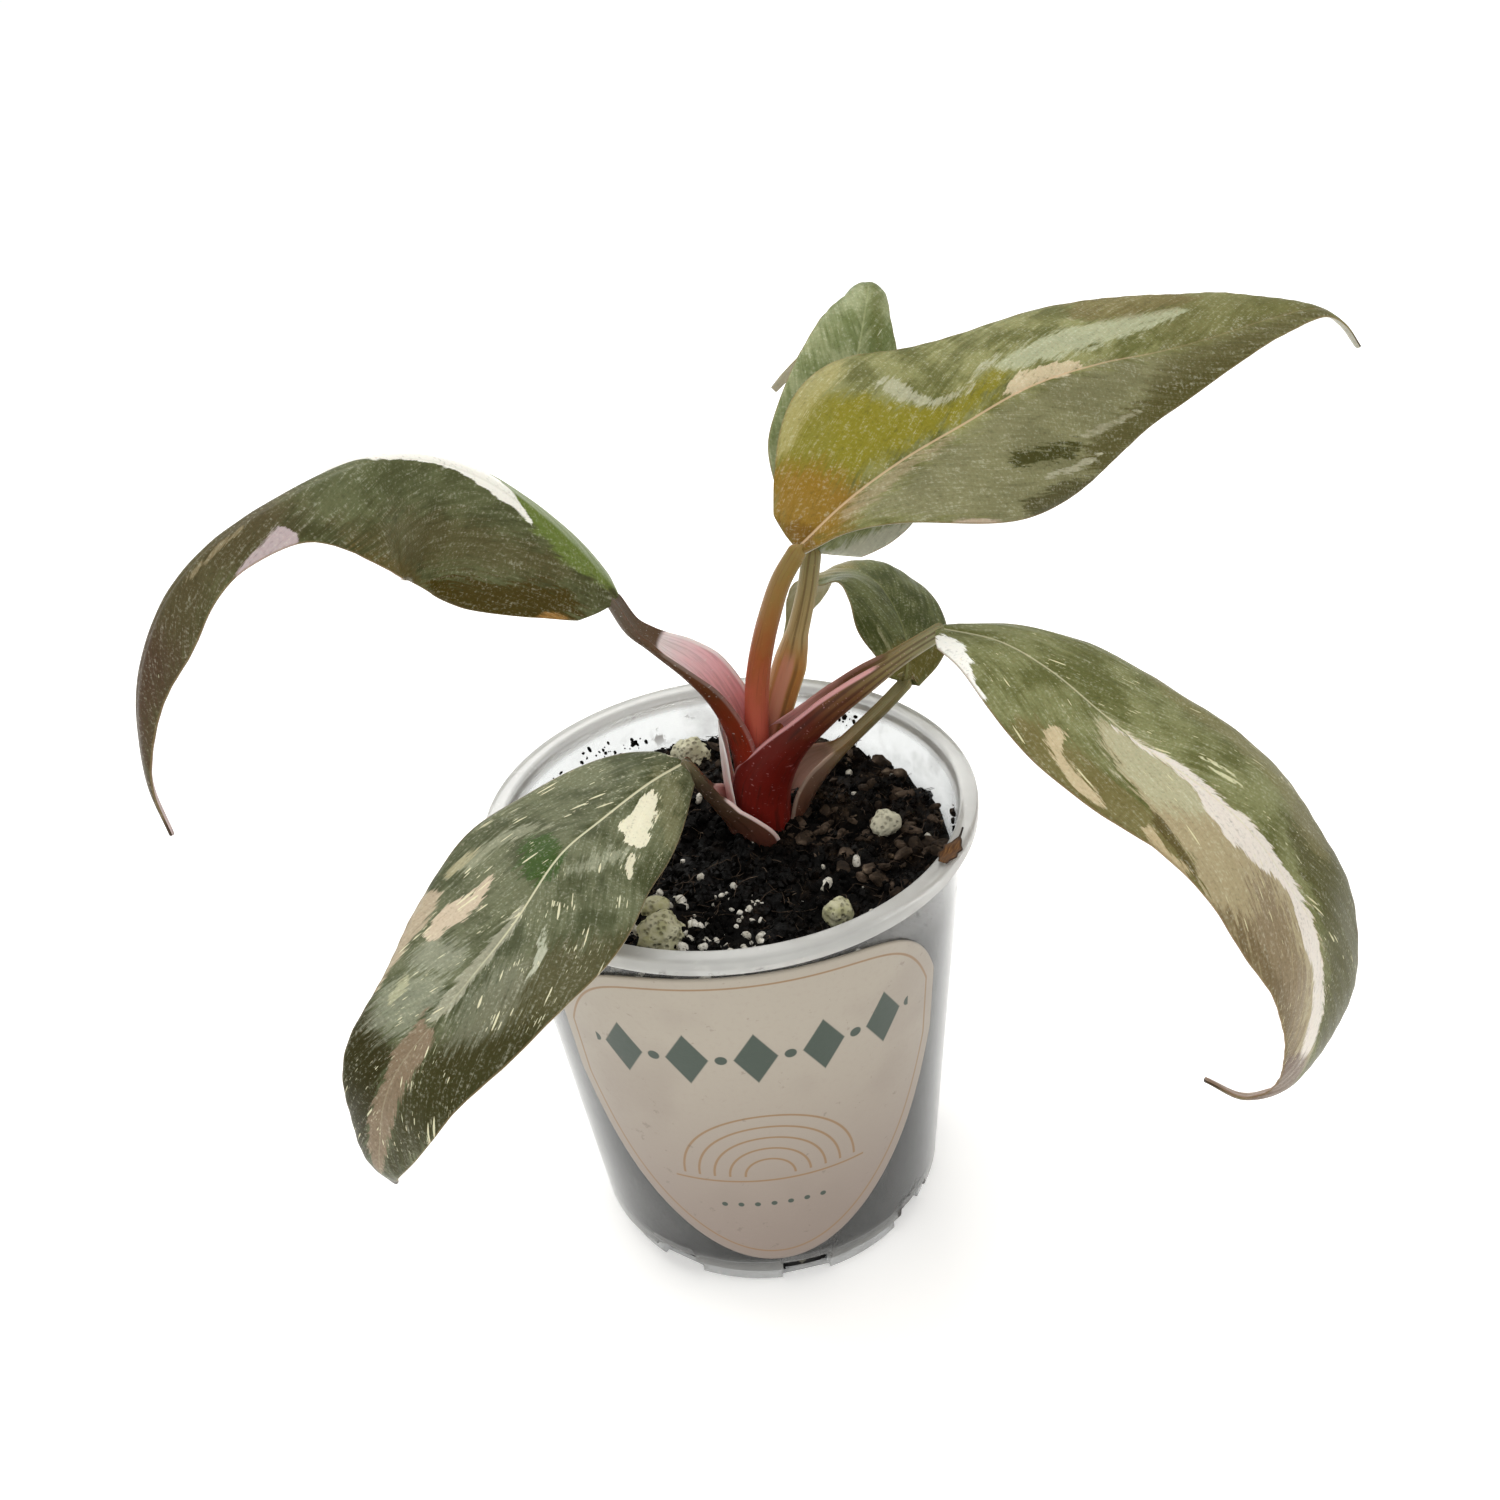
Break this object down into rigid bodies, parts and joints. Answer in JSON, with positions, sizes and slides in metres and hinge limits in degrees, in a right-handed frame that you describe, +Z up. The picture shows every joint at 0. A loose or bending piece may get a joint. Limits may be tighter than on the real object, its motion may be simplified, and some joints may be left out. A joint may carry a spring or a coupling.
{
  "type": "potted red philodendron plant",
  "caption": "Young variegated philodendron with arching pointed leaves on red sheathed stalks, rooted in potting mix in a small clear nursery cup with a sticker.",
  "frame": {"origin": "middle of the cup's flat underside, on the surface that the cup stands on", "axes": "+Z up the cup's axis, -Y towards the sticker and the viewer, +X to the viewer's right, along the plant's widest reach"},
  "size_m": [0.1534, 0.096, 0.1153],
  "materials": {
    "pot": "clear, slightly cloudy, glossy",
    "label": "cream sticker, slightly glossy",
    "soil": "damp, dark, with white perlite",
    "rootstock": "fibrous",
    "dried_flake": "dry, papery",
    "stalk_amber": "waxy",
    "stalk_olive": "waxy",
    "stalk_red": "waxy",
    "stalk_maroon": "waxy",
    "stalk_brown": "waxy",
    "leaf_left": "satin, variegated",
    "leaf_top": "satin, variegated",
    "leaf_right": "satin, variegated",
    "leaf_front": "satin, variegated",
    "leaf_back": "satin, variegated",
    "leaf_middle": "satin, variegated"
  },
  "bodies": {
    "root": {"pot": "pot", "label": "label", "soil": "soil", "rootstock": "rootstock", "dried_flake": "dried_flake", "stalk_top": "stalk_amber", "stalk_back": "stalk_olive", "stalk_left": "stalk_red", "stalk_right": "stalk_maroon", "stalk_middle": "stalk_brown", "stalk_front": "stalk_brown", "leaf_left": "leaf_left", "leaf_top": "leaf_top", "leaf_right": "leaf_right", "leaf_front": "leaf_front", "leaf_back": "leaf_back", "leaf_middle": "leaf_middle"}
  },
  "joints": []
}
